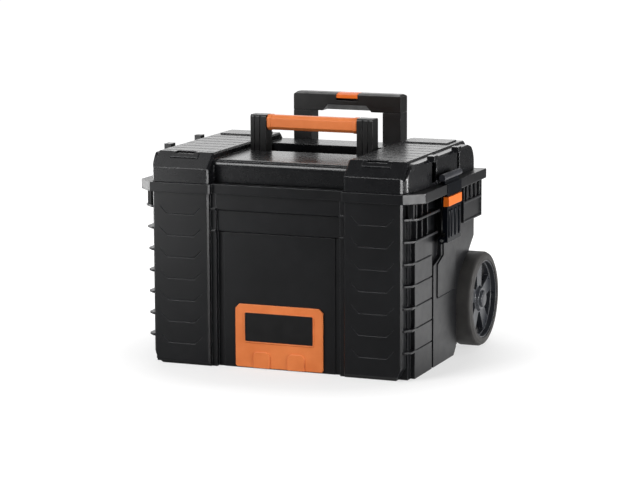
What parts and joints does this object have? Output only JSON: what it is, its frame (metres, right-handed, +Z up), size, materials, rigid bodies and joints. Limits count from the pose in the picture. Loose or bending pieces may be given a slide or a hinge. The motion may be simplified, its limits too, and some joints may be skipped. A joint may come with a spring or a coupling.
{
  "type": "rolling toolbox",
  "caption": "Ribbed black plastic toolbox on wheels with a hinged lid, fold-down carry handle, side latches and a telescoping tow handle.",
  "frame": {"origin": "on the floor, under the middle of the bin in width and depth", "axes": "+X to the right of a person facing the front, +Y from the front to the wheels and tow handle at the rear, +Z up"},
  "size_m": [0.573, 0.4629, 0.4798],
  "materials": {
    "black_plastic": "satin grain",
    "gloss_black_plastic": "gloss",
    "handle_plastic": "satin",
    "orange_plastic": "satin",
    "label_film": "plain film",
    "wheel_plastic": "satin",
    "tyre_rubber": "matt",
    "seal_rubber": "matt",
    "post_plastic": "satin",
    "tube_aluminium": "satin anodised",
    "steel": "plated"
  },
  "bodies": {
    "box": {"bin": "black_plastic", "post_screws": "steel", "bracket_screws": "steel", "front_badge_plate": "orange_plastic", "badge_label": "label_film", "lid_seal": "seal_rubber", "hinge_bracket_right": "post_plastic", "hinge_bracket_left": "post_plastic", "hinge_pin_right": "steel", "hinge_pin_left": "steel", "latch_pin_right": "steel", "latch_pin_left": "steel", "axle": "steel", "axle_nut_right": "wheel_plastic", "axle_nut_left": "wheel_plastic", "handle_post_right": "post_plastic", "handle_post_left": "post_plastic", "post_collar_right": "post_plastic", "post_collar_left": "post_plastic"},
    "lid": {"lid": "black_plastic", "carry_pin_right": "steel", "carry_pin_left": "steel"},
    "carry_handle": {"carry_arm_right": "handle_plastic", "carry_arm_left": "handle_plastic", "carry_grip": "orange_plastic", "carry_rod": "steel"},
    "latch_right": {"latch_lever_right": "gloss_black_plastic", "latch_bar_right": "steel", "latch_tab_right": "orange_plastic"},
    "latch_left": {"latch_lever_left": "gloss_black_plastic", "latch_bar_left": "steel", "latch_tab_left": "orange_plastic"},
    "wheel_right": {"tyre_right": "tyre_rubber", "hub_right": "wheel_plastic", "wheel_bush_right": "post_plastic", "hub_cap_right": "wheel_plastic"},
    "wheel_left": {"tyre_left": "tyre_rubber", "hub_left": "wheel_plastic", "wheel_bush_left": "post_plastic", "hub_cap_left": "wheel_plastic"},
    "tow_middle": {"middle_tube_right": "tube_aluminium", "middle_tube_left": "tube_aluminium", "middle_foot_right": "post_plastic", "middle_foot_left": "post_plastic", "middle_collar_right": "post_plastic", "middle_collar_left": "post_plastic"},
    "tow_handle": {"inner_tube_right": "tube_aluminium", "inner_tube_left": "tube_aluminium", "inner_foot_right": "post_plastic", "inner_foot_left": "post_plastic", "lock_pin_right": "steel", "lock_pin_left": "steel", "tow_head": "handle_plastic"},
    "release": {"release_button": "orange_plastic", "release_bar": "post_plastic", "push_rod_right": "steel", "push_rod_left": "steel", "button_spring_right": "steel", "button_spring_left": "steel"}
  },
  "joints": [
    {"name": "lid_hinge", "type": "hinge", "parent": "box", "child": "lid", "pos_m": [0, 0.183, 0.3839], "axis": [-1, 0, 0], "range_deg": [0, 90]},
    {"name": "carry_handle_pivot", "type": "hinge", "parent": "lid", "child": "carry_handle", "pos_m": [0, 0.015, 0.3698], "axis": [-1, 0, 0], "range_deg": [0, 90]},
    {"name": "latch_right_pivot", "type": "hinge", "parent": "box", "child": "latch_right", "pos_m": [0.268, 0.017, 0.237], "axis": [0, 1, 0], "range_deg": [0, 75]},
    {"name": "latch_left_pivot", "type": "hinge", "parent": "box", "child": "latch_left", "pos_m": [-0.268, 0.017, 0.237], "axis": [0, -1, 0], "range_deg": [0, 75]},
    {"name": "wheel_right_spin", "type": "hinge", "parent": "box", "child": "wheel_right", "pos_m": [0.2615, 0.1874, 0.0915], "axis": [1, 0, 0], "continuous": true},
    {"name": "wheel_left_spin", "type": "hinge", "parent": "box", "child": "wheel_left", "pos_m": [-0.2615, 0.1874, 0.0915], "axis": [1, 0, 0], "continuous": true},
    {"name": "tow_middle_slide", "type": "slide", "parent": "box", "child": "tow_middle", "axis": [0, 0, 1], "range_m": [0, 0.25]},
    {"name": "tow_handle_slide", "type": "slide", "parent": "tow_middle", "child": "tow_handle", "axis": [0, 0, 1], "range_m": [0, 0.25]},
    {"name": "release_button_slide", "type": "slide", "parent": "tow_handle", "child": "release", "axis": [0, 0, -1], "range_m": [0, 0.004], "stiffness_N_per_m": 900, "springref_m": -0.004, "deforming": ["button_spring_right", "button_spring_left"]}
  ]
}
